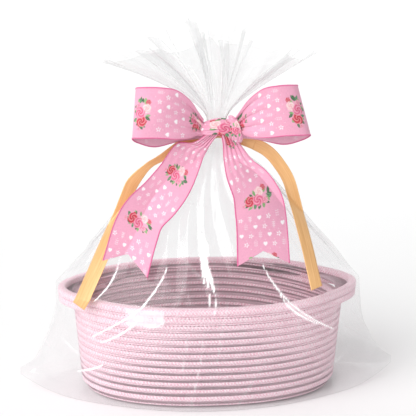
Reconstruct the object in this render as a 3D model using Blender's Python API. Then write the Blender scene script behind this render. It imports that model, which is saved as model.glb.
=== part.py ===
"""Gift basket: a coiled cotton-rope basket in a clear film bag, its neck tied with a gold satin ribbon and
a printed, wire-edged bow. Metres, +Z up. The origin is on the floor under the middle of the bag, the basket's
long side runs along X, and the bow faces -Y."""

import math

import bmesh
import bpy
from mathutils import Vector

# Basket: one rope, coiled and stitched row on row.
TOP_LENGTH = 0.288  # outside, over the body and not the handles
TOP_DEPTH = 0.196
TAPER = 0.010  # how far the wall leans in from rim to foot
OVAL_POWER = 2.2  # 2 is an ellipse, more is squarer
ROPE = 0.008  # thickness of the rope, and so of the wall and base
ROW_PITCH = 0.0078  # stitched rows lie slightly into each other
WALL_ROWS = 14
FOOT_RADIUS = 0.012  # where the base turns up into the wall
HANDLE_ROWS = 2  # top rows left unstitched at each end as a grab handle
HANDLE_SPAN = 0.110
HANDLE_REACH = 0.015  # how far a handle bows out past the wall

# Film bag.
FILM = 0.0006
FILM_SLACK = 0.003  # how far the bag stands off the rim
FOOT_SLACK = 0.0045  # further slack round the foot
CORNER_REACH = 0.039  # the bag's bottom corners, past the handles
CORNER_LIFT = 0.013  # how far a corner's tip curls up off the floor
CORNER_POINT = 1.0  # how pointed the bag's outline is on the floor; 0.5 is round
NECK_RISE = 0.148  # from the rim up to the gathered neck
NECK_RADIUS = 0.011
NECK_CHANNEL = 0.004  # open middle of the gathers
NECK_SHIFT = 0.009  # the neck is tied a little to the right of the middle
NECK_LENGTH = 0.030
RUFFLE_SIDE = 0.090  # how far the ruffle spreads beyond the neck, to the sides
RUFFLE_SIDE_RISE = 0.062
RUFFLE_FRONT = 0.036  # and to front and back
RUFFLE_RISE = 0.093
RUFFLE_PLEATS = 12
PLEAT_DEPTH = 0.004

# Gold satin ribbon round the neck.
GOLD_WIDTH = 0.0127
GOLD_THICK = 0.0008
GOLD_KNOT_THICK = 0.002

# Printed wire-edged ribbon.
PRINT_WIDTH = 0.0508
PRINT_THICK = 0.0008
LOOP_LEFT = 0.072  # from the knot's side to the end of the loop
LOOP_RIGHT = 0.078
LOOP_BULGE = 0.026  # how deep a loop stands open, front to back
KNOT_WIDTH = 0.026
KNOT_HEIGHT = 0.020
KNOT_DEPTH = 0.0134
TAIL_NOTCH = 0.020  # depth of the swallowtail cut
TAIL_LIFT = 0.0055  # the wired tails stand off the film
GOLD_LIFT = 0.0022  # the satin tails lie closer
FRONT_SPREAD = 0.006  # a tail rests on the furthest forward film within this
ROOT_HALF = 0.0385  # the tails' roots under the knot, half their spread
ROOT_THICK = 0.0022
ROOT_SHIFT = 0.007  # they reach further to the left of the neck
LOOP_START = 0.003  # a loop leaves the knot this far from its side

GAP = 0.0003  # between pieces that touch
AROUND = 64  # sides of the rope ovals
FILM_AROUND = 48  # sides of the film's rings, a multiple of the ruffle's pleats

# Places that follow from the sizes.
FLOOR_TOP = FILM + GAP
BODY_HEIGHT = ROW_PITCH * WALL_ROWS
RIM = FLOOR_TOP + BODY_HEIGHT
HANDLE_LOW = RIM - HANDLE_ROWS * ROW_PITCH
TENT_LOW = RIM + 0.003
NECK_LOW = RIM + NECK_RISE
TIE = NECK_LOW + 0.0165  # middle of the gold wrap
SPLIT = TIE  # the bag and its ruffle meet inside the wrap
FUNNEL = 0.9  # share of the tent's height where it becomes the neck
COLLAR = NECK_LOW + NECK_LENGTH
WRAP_OUT = NECK_RADIUS + GAP + GOLD_THICK
GOLD_KNOT_FRONT = -(WRAP_OUT + GAP + GOLD_KNOT_THICK)
KNOT_Y = GOLD_KNOT_FRONT - GAP - KNOT_DEPTH / 2
KNOT_Z = TIE + 0.004
TAIL_HINGE_Z = NECK_LOW + 0.0005
TAIL_HINGE_Y = -0.0250

COLOURS = {
    "rope": ((0.86, 0.55, 0.62, 1.0), 0.92, 0.0),
    "film": ((0.92, 0.93, 0.93, 0.25), 0.08, 0.0),
    "print": ((0.90, 0.40, 0.55, 1.0), 0.70, 0.0),
    "gold": ((0.86, 0.56, 0.24, 1.0), 0.35, 0.0),
}


def material(name):
    """A Principled material of the finish with this name."""
    if name in bpy.data.materials:
        return bpy.data.materials[name]
    colour, roughness, metallic = COLOURS[name]
    made = bpy.data.materials.new(name)
    made.use_nodes = True
    shader = made.node_tree.nodes["Principled BSDF"]
    shader.inputs["Base Color"].default_value = colour
    shader.inputs["Roughness"].default_value = roughness
    shader.inputs["Metallic"].default_value = metallic
    shader.inputs["Alpha"].default_value = colour[3]
    made.diffuse_color = colour
    return made


def add(name, points, faces, finish, origin=(0.0, 0.0, 0.0)):
    """An object of these world points, with its origin at the place given."""
    centre = Vector(origin)
    mesh = bpy.data.meshes.new(name)
    mesh.from_pydata([Vector(point) - centre for point in points], [], faces)
    shape = bmesh.new()
    shape.from_mesh(mesh)
    bmesh.ops.recalc_face_normals(shape, faces=shape.faces)
    shape.to_mesh(mesh)
    shape.free()
    mesh.shade_smooth()
    mesh.set_sharp_from_angle(angle=math.radians(40))
    mesh.materials.append(material(finish))
    made = bpy.data.objects.new(name, mesh)
    made.location = centre
    bpy.context.scene.collection.objects.link(made)
    return made


def smooth(value):
    """Eased step from 0 to 1."""
    value = min(max(value, 0.0), 1.0)
    return value * value * (3 - 2 * value)


def curve_through(points, steps):
    """A smooth curve through the points, each of any number of values, with this many pieces in all."""
    found = []
    last = len(points) - 1
    for step in range(steps + 1):
        place = last * step / steps
        index = min(int(place), last - 1)
        t = place - index
        p0, p1 = points[max(index - 1, 0)], points[index]
        p2, p3 = points[index + 1], points[min(index + 2, last)]
        found.append(
            [
                0.5 * (2 * b + (c - a) * t + (2 * a - 5 * b + 4 * c - d) * t**2 + (3 * b - a - 3 * c + d) * t**3)
                for a, b, c, d in zip(p0, p1, p2, p3)
            ]
        )
    return found


def oval(half_x, half_y, power, z, sides, shift=0.0):
    """Points of one level superellipse."""
    points = []
    for side in range(sides):
        angle = 2 * math.pi * side / sides
        cosine, sine = math.cos(angle), math.sin(angle)
        x = math.copysign(abs(cosine) ** (2 / power), cosine) * half_x
        y = math.copysign(abs(sine) ** (2 / power), sine) * half_y
        points.append((x + shift, y, z))
    return points


def lens(half_x, half_y, point, z, sides, shift=0.0):
    """Points of one level outline with round sides and, where point is over 0.5, pointed ends."""
    points = []
    for side in range(sides):
        angle = 2 * math.pi * side / sides
        y = math.copysign(abs(math.sin(angle)) ** (2 * point), math.sin(angle)) * half_y
        points.append((math.cos(angle) * half_x + shift, y, z))
    return points


def ring_faces(rows, sides, closed):
    """Quads between rings, each ring a loop. Closed also joins the last ring to the first."""
    faces = []
    for row in range(rows if closed else rows - 1):
        low, high = row * sides, (row + 1) % rows * sides
        for side in range(sides):
            after = (side + 1) % sides
            faces.append((low + side, low + after, high + after, high + side))
    return faces


def shell(name, front, back, finish, origin=(0.0, 0.0, 0.0)):
    """The solid between two grids of points, each with its rows along it and its points across a row."""
    rows, across = len(front), len(front[0])
    count = rows * across
    faces = []
    for row in range(rows - 1):
        for column in range(across - 1):
            a = row * across + column
            loop = (a, a + 1, a + across + 1, a + across)
            faces.append(loop)
            faces.append(tuple(point + count for point in reversed(loop)))
    edge = list(range(across))
    edge += [row * across + across - 1 for row in range(1, rows)]
    edge += [(rows - 1) * across + column for column in range(across - 2, -1, -1)]
    edge += [row * across for row in range(rows - 2, 0, -1)]
    for a, b in zip(edge, edge[1:] + edge[:1]):
        faces.append((b, a, a + count, b + count))
    points = [point for grid in (front, back) for row in grid for point in row]
    add(name, points, faces, finish, origin)


def lean(z):
    return TAPER * (1 - (z - FLOOR_TOP) / BODY_HEIGHT)


def rope_oval(inset, z):
    """The basket's outline at a height, moved in from its outside."""
    inset = inset + lean(z)
    return oval(TOP_LENGTH / 2 - inset, TOP_DEPTH / 2 - inset, OVAL_POWER, z, AROUND)


def half_round(centre, z, radius, start, steps=4):
    """A half circle of (inset, z) points, from the outside over to the inside, or back under it."""
    turn = [start + math.pi * step / steps for step in range(steps + 1)]
    return [(centre - radius * math.cos(angle), z + radius * math.sin(angle)) for angle in turn]


def foot_turn(height, steps):
    """The foot's rounded outside, as (inset, z) points, from the floor or from a height up to another."""
    low, high = (math.acos(1 - part / FOOT_RADIUS) for part in height)
    turns = [low + (high - low) * step / steps for step in range(steps + 1)]
    return [(FOOT_RADIUS * (1 - math.sin(a)), FLOOR_TOP + FOOT_RADIUS * (1 - math.cos(a))) for a in turns]


def make_base():
    """The coiled oval mat that the basket starts from, out to the row that turns up."""
    rings = []
    steps = 3
    for inset, z in foot_turn((0.0, ROPE), steps):
        rings += rope_oval(inset, z)
    faces = ring_faces(steps + 1, AROUND, closed=False)
    faces.append(tuple(range(AROUND)))
    faces.append(tuple(range(steps * AROUND, (steps + 1) * AROUND)))
    add("basket_base", rings, faces, "rope")


def make_wall():
    """The stitched rows, with a low place at each end where a handle stands away."""
    foot = FLOOR_TOP + FOOT_RADIUS
    section = foot_turn((ROPE + GAP, FOOT_RADIUS), 2)
    section.append((0.0, (foot + RIM) / 2))
    section += half_round(ROPE / 2, RIM - ROPE / 2, ROPE / 2, 0.0)
    section.append((ROPE, (foot + RIM) / 2))
    section.append((ROPE, FLOOR_TOP + ROPE + GAP))
    points = []
    for inset, z in section:
        points += rope_oval(inset, z)
    wall = add("basket_wall", points, ring_faces(len(section), AROUND, closed=True), "rope")
    for side in (-1, 1):
        low = Vector((TOP_LENGTH / 4, -HANDLE_SPAN / 2, HANDLE_LOW))
        high = Vector((TOP_LENGTH / 2 + HANDLE_REACH, HANDLE_SPAN / 2, RIM + ROPE))
        bpy.ops.mesh.primitive_cube_add(size=1, location=(low + high) / 2 * Vector((side, 1, 1)))
        cutter = bpy.context.object
        cutter.name = f"handle_cutter_{side}"
        cutter.scale = high - low
        cutter.hide_render = True
        cutter.display_type = "WIRE"
        cut = wall.modifiers.new("handle place", "BOOLEAN")
        cut.operation = "DIFFERENCE"
        cut.object = cutter


def make_handle(name, side):
    """The unstitched top rows at one end, bowed out to leave a finger gap over the wall."""
    low = HANDLE_LOW + GAP + ROPE / 2
    profile = half_round(ROPE / 2, RIM - ROPE / 2, ROPE / 2, 0.0)
    profile += half_round(ROPE / 2, low, ROPE / 2, math.pi)
    sections = 16
    reach = HANDLE_SPAN / 2 - GAP
    points = []
    for step in range(sections + 1):
        y = reach * (2 * step / sections - 1)
        bow = HANDLE_REACH * math.cos(math.pi * y / HANDLE_SPAN) ** 1.5
        for inset, z in profile:
            half_x = TOP_LENGTH / 2 - inset - lean(z)
            half_y = TOP_DEPTH / 2 - inset - lean(z)
            x = half_x * (1 - abs(y / half_y) ** OVAL_POWER) ** (1 / OVAL_POWER)
            points.append((side * (x + bow), y, z))
    count = len(profile)
    faces = ring_faces(sections + 1, count, closed=False)
    faces.append(tuple(range(count)))
    faces.append(tuple(range(sections * count, (sections + 1) * count)))
    add(name, points, faces, "rope")


def bag_section(z):
    """Half length, half depth, pointedness, sideways shift and corner lift of the bag at a height."""
    rim_x = TOP_LENGTH / 2 + HANDLE_REACH + FILM_SLACK
    rim_y = TOP_DEPTH / 2 + FILM_SLACK
    if z <= TENT_LOW:
        climb = max(z - CORNER_LIFT, 0.0) / (TENT_LOW - CORNER_LIFT)
        half_x = rim_x + CORNER_REACH * (1 - climb) ** 2.4
        half_y = rim_y - lean(min(z, RIM)) + FOOT_SLACK * (1 - z / TENT_LOW)
        point = CORNER_POINT + (0.5 - CORNER_POINT) * smooth(z / (0.7 * TENT_LOW))
        fall = max(z - 2 * FILM, 0.0) / (2.3 * CORNER_LIFT)
        return half_x, half_y, point, 0.0, CORNER_LIFT * max(1 - fall, 0.0)
    climb = min((z - TENT_LOW) / (NECK_LOW - TENT_LOW), 1.0)
    spread = 1 - 0.8 * climb - 0.2 * climb**8
    half_x = NECK_RADIUS + (rim_x - NECK_RADIUS) * spread
    half_y = NECK_RADIUS + (rim_y - NECK_RADIUS) * spread
    return half_x, half_y, 0.5, NECK_SHIFT * climb**4, 0.0


def bag_ring(z, skin):
    """One ring of the bag, moved in by the skin's thickness. The corners curl up near the floor."""
    half_x, half_y, point, shift, lift = bag_section(z)
    corner = 3 * skin if z < TENT_LOW else skin
    ring = []
    for x, y, _ in lens(half_x - corner, half_y - skin, point, z, FILM_AROUND, shift):
        out = max(abs(x) / half_x - 0.7, 0.0) / 0.3
        ring.append((x, y, z + lift * out**2))
    return ring


def floor_faces(start, sides, rising):
    """Strips from front to back across one ring, so that a curled-up corner stays a clean sheet."""
    faces = []
    half = sides // 2
    for side in range(half):
        loop = [side, side + 1, sides - side - 1, (sides - side) % sides]
        loop = list(dict.fromkeys(loop))
        faces.append(tuple(start + point for point in (loop if rising else reversed(loop))))
    return faces


def tent_height(part):
    """The height at a share of the way from the rim up to the neck."""
    return TENT_LOW + part * (NECK_LOW - TENT_LOW)


def make_bag_floor():
    """The film under the basket, with the bag's two bottom corners."""
    under = bag_ring(0.0, 0.0)
    over = [(x, y, z + FILM) for x, y, z in under]
    faces = ring_faces(2, FILM_AROUND, closed=False)
    faces += floor_faces(0, FILM_AROUND, rising=False)
    faces += floor_faces(FILM_AROUND, FILM_AROUND, rising=True)
    add("film_floor", under + over, faces, "film")


def make_bag_panels():
    """The bag's front and back, sealed to each other down the two sides: upright up to the rim, a tent above."""
    upright = [FLOOR_TOP] + [TENT_LOW * part for part in (0.035, 0.106, 0.195, 0.336, 0.531, 0.752)]
    upright.append(TENT_LOW - GAP / 2)
    tent = [TENT_LOW + GAP / 2] + [tent_height(part) for part in (0.12, 0.28, 0.46, 0.64, 0.8)]
    tent.append(tent_height(FUNNEL) - GAP)
    half = FILM_AROUND // 2
    for place, heights in (("", upright), ("_tent", tent)):
        for face, first in (("back", 0), ("front", half)):
            seal = GAP / 2 if face == "back" else -GAP / 2
            skins = []
            for skin in (0.0, FILM):
                skins.append([])
                for z in heights:
                    ring = bag_ring(z, skin)
                    row = [Vector(ring[(first + step) % FILM_AROUND]) for step in range(half + 1)]
                    row[0].y = row[-1].y = seal
                    skins[-1].append(row)
            shell(f"film{place}_{face}", skins[0], skins[1], "film")


def make_bag_neck():
    """The top of the tent, drawn together into gathers with an open middle."""
    outer = [bag_ring(tent_height(part), 0.0) for part in (FUNNEL, 0.96, 1.0)]
    outer.append(oval(NECK_RADIUS, NECK_RADIUS, 2, SPLIT - GAP / 2, FILM_AROUND, NECK_SHIFT))
    inner = [bag_ring(tent_height(FUNNEL), NECK_RADIUS / 4)]
    for z in (NECK_LOW, SPLIT - GAP / 2):
        inner.append(oval(NECK_CHANNEL, NECK_CHANNEL, 2, z, FILM_AROUND, NECK_SHIFT))
    rings = outer + inner[::-1]
    faces = ring_faces(len(rings), FILM_AROUND, closed=True)
    add("film_neck", [point for ring in rings for point in ring], faces, "film")


def ruffle_ring(part, skin):
    """One ring of the spread gathers, from the collar at 0 to the free edge at 1."""
    ring = []
    side_reach = NECK_RADIUS + RUFFLE_SIDE * part**1.1
    front_reach = NECK_RADIUS + RUFFLE_FRONT * part**1.2
    for step in range(FILM_AROUND):
        angle = 2 * math.pi * step / FILM_AROUND
        sideways = abs(math.cos(angle)) ** 3
        pleat = PLEAT_DEPTH * part * math.cos(angle * RUFFLE_PLEATS)
        reach = sideways * side_reach + (1 - sideways) * front_reach + pleat - skin
        rise = sideways * RUFFLE_SIDE_RISE * part**0.75 + (1 - sideways) * RUFFLE_RISE * part
        x = NECK_SHIFT + reach * math.cos(angle)
        ring.append((x, reach * math.sin(angle), COLLAR + rise + skin * part))
    return ring


def make_ruffle():
    """The free end of the bag above the tie, spread in pleats round an open middle."""
    parts = (0.0, 0.15, 0.35, 0.6, 0.8, 1.0)
    outer = [oval(NECK_RADIUS, NECK_RADIUS, 2, SPLIT + GAP / 2, FILM_AROUND, NECK_SHIFT)]
    outer += [ruffle_ring(part, 0.0) for part in parts]
    inner = [oval(NECK_CHANNEL, NECK_CHANNEL, 2, SPLIT + GAP / 2, FILM_AROUND, NECK_SHIFT)]
    inner.append(oval(NECK_CHANNEL, NECK_CHANNEL, 2, COLLAR, FILM_AROUND, NECK_SHIFT))
    inner += [ruffle_ring(part, 1.5 * FILM) for part in parts[1:-1]]
    inner.append(ruffle_ring(parts[-1], FILM))
    rings = outer + inner[::-1]
    faces = ring_faces(len(rings), FILM_AROUND, closed=True)
    add("film_ruffle", [point for ring in rings for point in ring], faces, "film")


def make_gold_wrap():
    """The satin ribbon wound round the gathered neck."""
    inside, outside = NECK_RADIUS + GAP, WRAP_OUT
    low, high = TIE - GOLD_WIDTH / 2, TIE + GOLD_WIDTH / 2
    points = []
    for radius, z in ((outside, low), (outside, high), (inside, high), (inside, low)):
        points += oval(radius, radius, 2, z, 32, NECK_SHIFT)
    add("gold_wrap", points, ring_faces(4, 32, closed=True), "gold")


def strip(name, grid, thickness, finish, origin=(0.0, 0.0, 0.0)):
    """A ribbon solid round a grid of points: rows along it, and points across each row."""
    rows, across = len(grid), len(grid[0])
    front, back = [], []
    for row in range(rows):
        front.append([])
        back.append([])
        for column in range(across):
            along = grid[min(row + 1, rows - 1)][column] - grid[max(row - 1, 0)][column]
            over = grid[row][min(column + 1, across - 1)] - grid[row][max(column - 1, 0)]
            half = along.cross(over).normalized() * thickness / 2
            front[-1].append(grid[row][column] + half)
            back[-1].append(grid[row][column] - half)
    shell(name, front, back, finish, origin)


def film_front(x, z):
    """The y of the bag's front near this place, or 0 where the bag isn't behind it."""
    nearest = 0.0
    for near_x in (x - FRONT_SPREAD, x, x + FRONT_SPREAD):
        for near_z in (z - FRONT_SPREAD, z):
            half_x, half_y, point, shift, _ = bag_section(near_z)
            out = min(abs(near_x - shift) / half_x, 1.0)
            nearest = min(nearest, -half_y * (1 - out**2) ** point)
    return nearest


def tail_grid(route, width, lift, notch, across, steps, level):
    """A ribbon tail on the bag. The route's points are x, free y and z at its middle, and its width's share.
    Its first stretch, as long as level, turns from a level top edge to one square to the ribbon."""
    path = curve_through(route, 4 * steps)
    lengths = [0.0]
    for before, after in zip(path, path[1:]):
        lengths.append(lengths[-1] + (Vector(after[:3]) - Vector(before[:3])).length)

    def at(length):
        length = min(max(length, 0.0), lengths[-1])
        index = max(step for step in range(len(path) - 1) if lengths[step] <= length)
        part = (length - lengths[index]) / (lengths[index + 1] - lengths[index])
        return Vector(path[index]).lerp(Vector(path[index + 1]), part)

    grid = []
    for step in range(steps + 1):
        row = []
        for column in range(across):
            side = 2 * column / (across - 1) - 1
            length = (lengths[-1] - notch * (1 - abs(side))) * step / steps
            here, ahead, behind = at(length), at(length + 0.004), at(length - 0.004)
            run = Vector((ahead[0] - behind[0], 0.0, ahead[2] - behind[2])).normalized()
            cross = Vector((-run.z, 0.0, run.x))
            if level:
                cross = cross.lerp(Vector((1.0, 0.0, 0.0)), 1 - smooth(length / level)).normalized()
            point = Vector((here[0], 0.0, here[2])) + cross * side * here[3] * width / 2
            point.y = min(here[1], film_front(point.x, point.z) - lift)
            row.append(point)
        grid.append(row)
    return grid


def make_print_tails():
    """Two swallowtailed ends of the printed ribbon, each free to lift off the film from its top edge."""
    x, y, z = NECK_SHIFT, TAIL_HINGE_Y, TAIL_HINGE_Z - GAP
    left = [
        (x - 0.0265, y, z, 0.80),
        (x - 0.044, y - 0.006, z - 0.026, 0.80),
        (x - 0.061, y - 0.012, z - 0.044, 0.81),
        (x - 0.078, y - 0.020, z - 0.059, 0.84),
        (x - 0.088, y - 0.028, z - 0.077, 0.94),
        (x - 0.099, y - 0.040, z - 0.113, 1.00),
    ]
    right = [
        (x + 0.0178, y, z, 0.44),
        (x + 0.0267, y - 0.004, z - 0.019, 0.76),
        (x + 0.0372, y - 0.008, z - 0.036, 0.95),
        (x + 0.0435, y - 0.014, z - 0.053, 1.00),
        (x + 0.0460, y - 0.020, z - 0.071, 1.00),
        (x + 0.0477, y - 0.034, z - 0.110, 1.00),
    ]
    for name, route in (("bow_tail_left", left), ("bow_tail_right", right)):
        grid = tail_grid(route, PRINT_WIDTH, TAIL_LIFT, TAIL_NOTCH, across=5, steps=12, level=0.04)
        strip(name, grid, PRINT_THICK, "print", origin=(route[0][0], y, TAIL_HINGE_Z))


def make_gold_tails():
    """The satin ribbon's knot with its two arms behind the bow, and the two tails that swing from them."""
    x, z = NECK_SHIFT, TIE
    exit_left = (x - 0.040, -0.0152, z - 0.015, 1.0)
    exit_right = (x + 0.038, -0.0152, z - 0.013, 1.0)
    knot_y = GOLD_KNOT_FRONT + GOLD_KNOT_THICK / 2
    arms = [exit_left, (x - 0.018, -0.0148, z - 0.006, 1.0), (x, knot_y, z, 1.0)]
    arms += [(x + 0.018, -0.0148, z - 0.005, 1.0), exit_right]
    path = [Vector(point[:3]) for point in curve_through(arms, 12)]
    grid = []
    for index, middle in enumerate(path):
        run = (path[min(index + 1, len(path) - 1)] - path[max(index - 1, 0)]).normalized()
        cross = Vector((-run.z, 0.0, run.x)).normalized() * GOLD_WIDTH / 2
        grid.append([middle + cross, middle, middle - cross])
    strip("gold_knot", grid, GOLD_THICK, "gold")
    left = [
        (exit_left[0] - 0.0020, exit_left[1], exit_left[2] - 0.0009, 1.0),
        (x - 0.060, -0.0158, z - 0.0266, 0.6),
        (x - 0.073, -0.018, z - 0.0341, 0.6),
        (x - 0.0875, -0.018, z - 0.0496, 1.0),
        (x - 0.0955, -0.018, z - 0.0661, 1.0),
        (x - 0.1045, -0.020, z - 0.0876, 1.0),
        (x - 0.1216, -0.026, z - 0.1196, 1.0),
        (x - 0.1460, -0.034, z - 0.1756, 1.0),
    ]
    right = [
        (exit_right[0] + 0.0020, exit_right[1], exit_right[2] - 0.0009, 1.0),
        (x + 0.050, -0.0158, z - 0.020, 1.0),
        (x + 0.060, -0.018, z - 0.030, 1.0),
        (x + 0.072, -0.020, z - 0.049, 1.0),
        (x + 0.081, -0.022, z - 0.072, 1.0),
        (x + 0.093, -0.026, z - 0.108, 1.0),
        (x + 0.104, -0.030, z - 0.156, 1.0),
    ]
    for name, route in (("gold_tail_left", left), ("gold_tail_right", right)):
        grid = tail_grid(route, GOLD_WIDTH, GOLD_LIFT, 0.0, across=3, steps=14, level=0.0)
        strip(name, grid, GOLD_THICK, "gold", origin=route[0][:3])


def make_loop(name, side, length, flare):
    """One loop of the bow: the ribbon runs out in front, turns at the end and comes back behind, lower."""
    start = NECK_SHIFT + side * (KNOT_WIDTH / 2 + LOOP_START)
    back = KNOT_Y + 0.0015
    deep = LOOP_BULGE
    plan = [
        (0.00, back - 0.004, KNOT_Z, 0.34),
        (0.25, back - 0.60 * deep, KNOT_Z + 0.010, 0.66),
        (0.55, back - 0.96 * deep, KNOT_Z + 0.019, 0.96),
        (0.86, back - 0.92 * deep, KNOT_Z + 0.0205, 1.00),
        (1.00, back - 0.55 * deep, KNOT_Z + 0.020, 1.00),
        (0.90, back - 0.12 * deep, KNOT_Z + 0.014, 1.00),
        (0.60, back + 0.00 * deep, KNOT_Z + 0.008, 0.96),
        (0.25, back + 0.02 * deep, KNOT_Z + 0.004, 0.66),
        (0.00, back, KNOT_Z - 0.001, 0.34),
    ]
    grid = []
    for out, y, z, share in curve_through(plan, 24):
        row = []
        for column in range(5):
            place = column / 2 - 1
            x = start + side * (length * out - flare * place * out)
            row.append(Vector((x, y, z + place * share * PRINT_WIDTH / 2)))
        grid.append(row)
    strip(name, grid, PRINT_THICK, "print", origin=(start, back - 0.002, KNOT_Z))


def make_bow_knot():
    """The scrunched middle of the bow, spreading below into the roots of the two tails."""
    levels = [
        (KNOT_HEIGHT / 2, 0.0, 0.30, 0.25),
        (KNOT_HEIGHT * 0.42, 0.0, 0.78, 0.72),
        (KNOT_HEIGHT * 0.18, 0.0, 1.00, 1.00),
        (-KNOT_HEIGHT * 0.15, 0.0, 1.00, 1.00),
        (-KNOT_HEIGHT * 0.42, 0.0, 1.10, 0.70),
        (-KNOT_HEIGHT * 0.60, -0.001, 1.60, 0.36),
    ]
    rings = []
    for rise, forward, wide, deep in levels:
        half_x, half_y = wide * KNOT_WIDTH / 2, deep * KNOT_DEPTH / 2
        ring = oval(half_x, half_y, 2, KNOT_Z + rise, 24, NECK_SHIFT)
        rings.append([(x, y + KNOT_Y + forward, z) for x, y, z in ring])
    foot = oval(ROOT_HALF, ROOT_THICK / 2, 2, TAIL_HINGE_Z + 2 * GAP, 24, NECK_SHIFT - ROOT_SHIFT)
    rings.append([(x, y + TAIL_HINGE_Y, z) for x, y, z in foot])
    faces = ring_faces(len(rings), 24, closed=False)
    faces.append(tuple(range(24)))
    faces.append(tuple(range((len(rings) - 1) * 24, len(rings) * 24)))
    add("bow_knot", [point for ring in rings for point in ring], faces, "print")


for existing in list(bpy.data.objects):
    bpy.data.objects.remove(existing)

make_base()
make_wall()
make_handle("handle_left", -1)
make_handle("handle_right", 1)
make_bag_floor()
make_bag_panels()
make_bag_neck()
make_ruffle()
make_gold_wrap()
make_gold_tails()
make_print_tails()
make_loop("bow_loop_left", -1, LOOP_LEFT, 0.0015)
make_loop("bow_loop_right", 1, LOOP_RIGHT, 0.0070)
make_bow_knot()
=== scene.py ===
import math

import bmesh
import bpy
import numpy as np
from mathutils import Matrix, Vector


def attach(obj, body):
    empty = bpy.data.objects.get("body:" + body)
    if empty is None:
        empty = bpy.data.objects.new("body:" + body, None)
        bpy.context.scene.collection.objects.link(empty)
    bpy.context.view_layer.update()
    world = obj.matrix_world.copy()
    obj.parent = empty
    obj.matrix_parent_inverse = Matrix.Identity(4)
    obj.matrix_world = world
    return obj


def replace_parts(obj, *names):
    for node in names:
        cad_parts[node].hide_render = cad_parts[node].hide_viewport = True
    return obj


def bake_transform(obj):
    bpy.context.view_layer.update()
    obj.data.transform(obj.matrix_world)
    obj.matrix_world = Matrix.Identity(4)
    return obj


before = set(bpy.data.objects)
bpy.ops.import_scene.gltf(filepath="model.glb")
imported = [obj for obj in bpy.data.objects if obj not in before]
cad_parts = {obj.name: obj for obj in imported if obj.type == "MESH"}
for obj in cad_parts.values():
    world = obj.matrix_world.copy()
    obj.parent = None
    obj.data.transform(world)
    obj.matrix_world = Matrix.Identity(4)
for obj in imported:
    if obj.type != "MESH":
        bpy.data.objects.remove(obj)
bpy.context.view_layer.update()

# The basket is one soft cotton rope, braided from dyed and undyed yarn, wound as an oval mat. These are its
# sizes, the braided finish, and the tube that every length of rope is made as.
ROPE = 0.008
ROPE_OUT = 0.0042  # half the rope's thickness across the wall
ROPE_UP = 0.0040
ROW = 0.0078
ROWS = 14
TOP_LENGTH = 0.288
TOP_DEPTH = 0.196
TAPER = 0.010
OVAL_POWER = 2.2
FLOOR_TOP = 0.0009
RIM = FLOOR_TOP + ROW * ROWS
FOOT_RADIUS = 0.012
HANDLE_SPAN = 0.110
HANDLE_REACH = 0.015
ROPE_STEP = 0.0021  # between the rope's rings
ROPE_SIDES = 16
MAT_ROWS = 10
SEWN_FLAT = 0.44  # how square the rope's section is pressed
CLIMB_FROM = 0.82  # the share of a turn after which the coil climbs to the next row
HANDLE_ROWS = 2.5  # how far below the top row a handle's rope starts, counted in rows


def tint(code):
    """Linear red, green and blue of a dye given as a hex code."""
    parts = [int(code[place:place + 2], 16) / 255 for place in (0, 2, 4)]
    return tuple(part / 12.92 if part <= 0.04045 else ((part + 0.055) / 1.055) ** 2.4 for part in parts)


class Dye:
    """One value of a finish. Sums on it add Math nodes, and make() adds any other node."""

    def __init__(self, finish, socket=None):
        self.finish, self.socket = finish, socket

    def make(self, kind, settings=None, values=None, out=0):
        node = self.finish.node_tree.nodes.new(kind)
        for name, setting in (settings or {}).items():
            if name == "stops":
                for stop, (place, colour) in zip(node.color_ramp.elements, setting):
                    stop.position, stop.color = place, (*colour, 1.0)
            else:
                setattr(node, name, setting)
        for place, value in (values or {}).items():
            if isinstance(value, Dye):
                self.finish.node_tree.links.new(value.socket, node.inputs[place])
            else:
                node.inputs[place].default_value = value
        return Dye(self.finish, node.outputs[out])

    def sum(self, operation, *others):
        """A Math node on the values given, which need not hold this one."""
        return self.make("ShaderNodeMath", {"operation": operation}, dict(enumerate(others)))

    def size(self):
        """The value without its sign."""
        return self.sum("ABSOLUTE", self)

    def limited(self):
        """The value kept between 0 and 1."""
        return self.sum("MINIMUM", self.sum("MAXIMUM", self, 0.0), 1.0)

    def noise(self, place, scale, **more):
        """A noise texture's value."""
        return self.make("ShaderNodeTexNoise", {}, {"Vector": place, "Scale": scale, **more})

    def bump(self, strength, distance, height):
        """A surface's direction, roughened by a height."""
        values = {"Strength": strength, "Distance": distance, "Height": height}
        return self.make("ShaderNodeBump", {}, values)

    def principled(self, values):
        """The main shader, with its inputs by name."""
        return self.make("ShaderNodeBsdfPrincipled", {}, values)

    def __add__(self, other):
        return self.sum("ADD", self, other)

    def __sub__(self, other):
        return self.sum("SUBTRACT", self, other)

    def __rsub__(self, other):
        return self.sum("SUBTRACT", other, self)

    def __mul__(self, other):
        return self.sum("MULTIPLY", self, other)

    def __truediv__(self, other):
        return self.sum("DIVIDE", self, other)

    def __mod__(self, other):
        return self.sum("FLOORED_MODULO", self, other)

    def __pow__(self, other):
        return self.sum("POWER", self, other)

    __radd__, __rmul__ = __add__, __mul__

    def part(self, out):
        """Another output of the same node."""
        return Dye(self.finish, self.socket.node.outputs[out])

    def mixed(self, first, second):
        """A colour from first at 0 to second at 1."""
        settings = {"data_type": "RGBA"}
        colours = {6: first, 7: second}
        values = {0: self, **{k: v if isinstance(v, Dye) else (*v, 1.0) for k, v in colours.items()}}
        return self.make("ShaderNodeMix", settings, values, out=2)


def new_finish(name):
    """An empty material, and the Dye that starts its nodes."""
    finish = bpy.data.materials.new(name)
    finish.use_nodes = True
    finish.node_tree.nodes.clear()
    return finish, Dye(finish)


def finish_with(start, shader):
    """Sends a shader to the finish's output."""
    output = start.finish.node_tree.nodes.new("ShaderNodeOutputMaterial")
    start.finish.node_tree.links.new(shader.socket, output.inputs["Surface"])


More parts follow.
